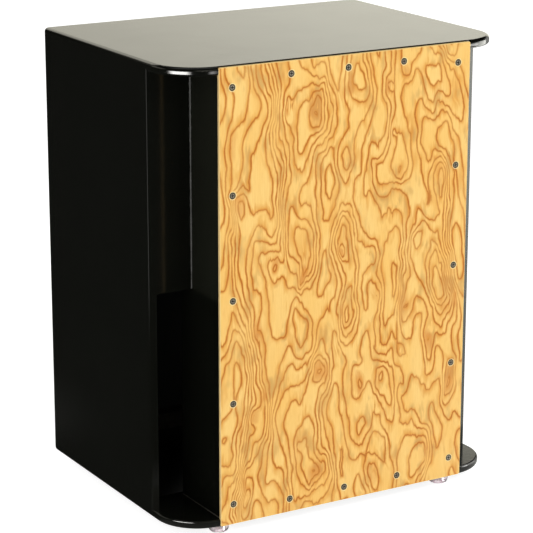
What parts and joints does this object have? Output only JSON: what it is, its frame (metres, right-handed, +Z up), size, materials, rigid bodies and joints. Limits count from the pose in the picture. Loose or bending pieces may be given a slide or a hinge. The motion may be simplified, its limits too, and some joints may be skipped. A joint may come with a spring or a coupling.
{
  "type": "cajon",
  "caption": "Box drum with a figured plywood playing face, a gloss black body with rounded ears, forward-facing side ports, fixed inner snares and soft feet.",
  "frame": {"origin": "centre of the footprint, on the floor under the feet", "axes": "+Z up; the playing face looks along -Y; +X is to the right as seen from in front"},
  "size_m": [0.397, 0.3, 0.494],
  "materials": {
    "black_lacquer": "high-gloss black polyurethane lacquer on MDF",
    "burl_veneer": "satin-gloss clear lacquer on figured veneer plywood",
    "raw_wood": "bare sanded softwood",
    "black_wood": "softwood sprayed matt black",
    "zinc_screws": "zinc plated",
    "snare_steel": "bright drawn wire and sheet",
    "felt": "dense black felt",
    "clear_rubber": "soft translucent polyurethane"
  },
  "bodies": {
    "root": {"back_panel": "black_lacquer", "bottom_front_batten": "raw_wood", "bottom_panel": "black_lacquer", "bottom_rear_batten": "black_wood", "foot_screws": "zinc_screws", "foot_washers": "zinc_screws", "front_left_foot": "clear_rubber", "front_plate": "burl_veneer", "front_plate_screws": "zinc_screws", "front_right_foot": "clear_rubber", "left_baffle": "black_lacquer", "left_front_batten": "raw_wood", "left_inner_wall": "black_lacquer", "left_rear_batten": "black_wood", "left_side_panel": "black_lacquer", "left_snare_plate": "snare_steel", "left_snare_wires": "snare_steel", "rear_left_foot": "clear_rubber", "rear_right_foot": "clear_rubber", "right_baffle": "black_lacquer", "right_front_batten": "raw_wood", "right_inner_wall": "black_lacquer", "right_rear_batten": "black_wood", "right_side_panel": "black_lacquer", "right_snare_plate": "snare_steel", "right_snare_wires": "snare_steel", "snare_bar": "raw_wood", "snare_bar_screws": "zinc_screws", "snare_damper": "felt", "snare_plate_screws": "zinc_screws", "top_front_batten": "raw_wood", "top_panel": "black_lacquer", "top_rear_batten": "black_wood"}
  },
  "joints": []
}
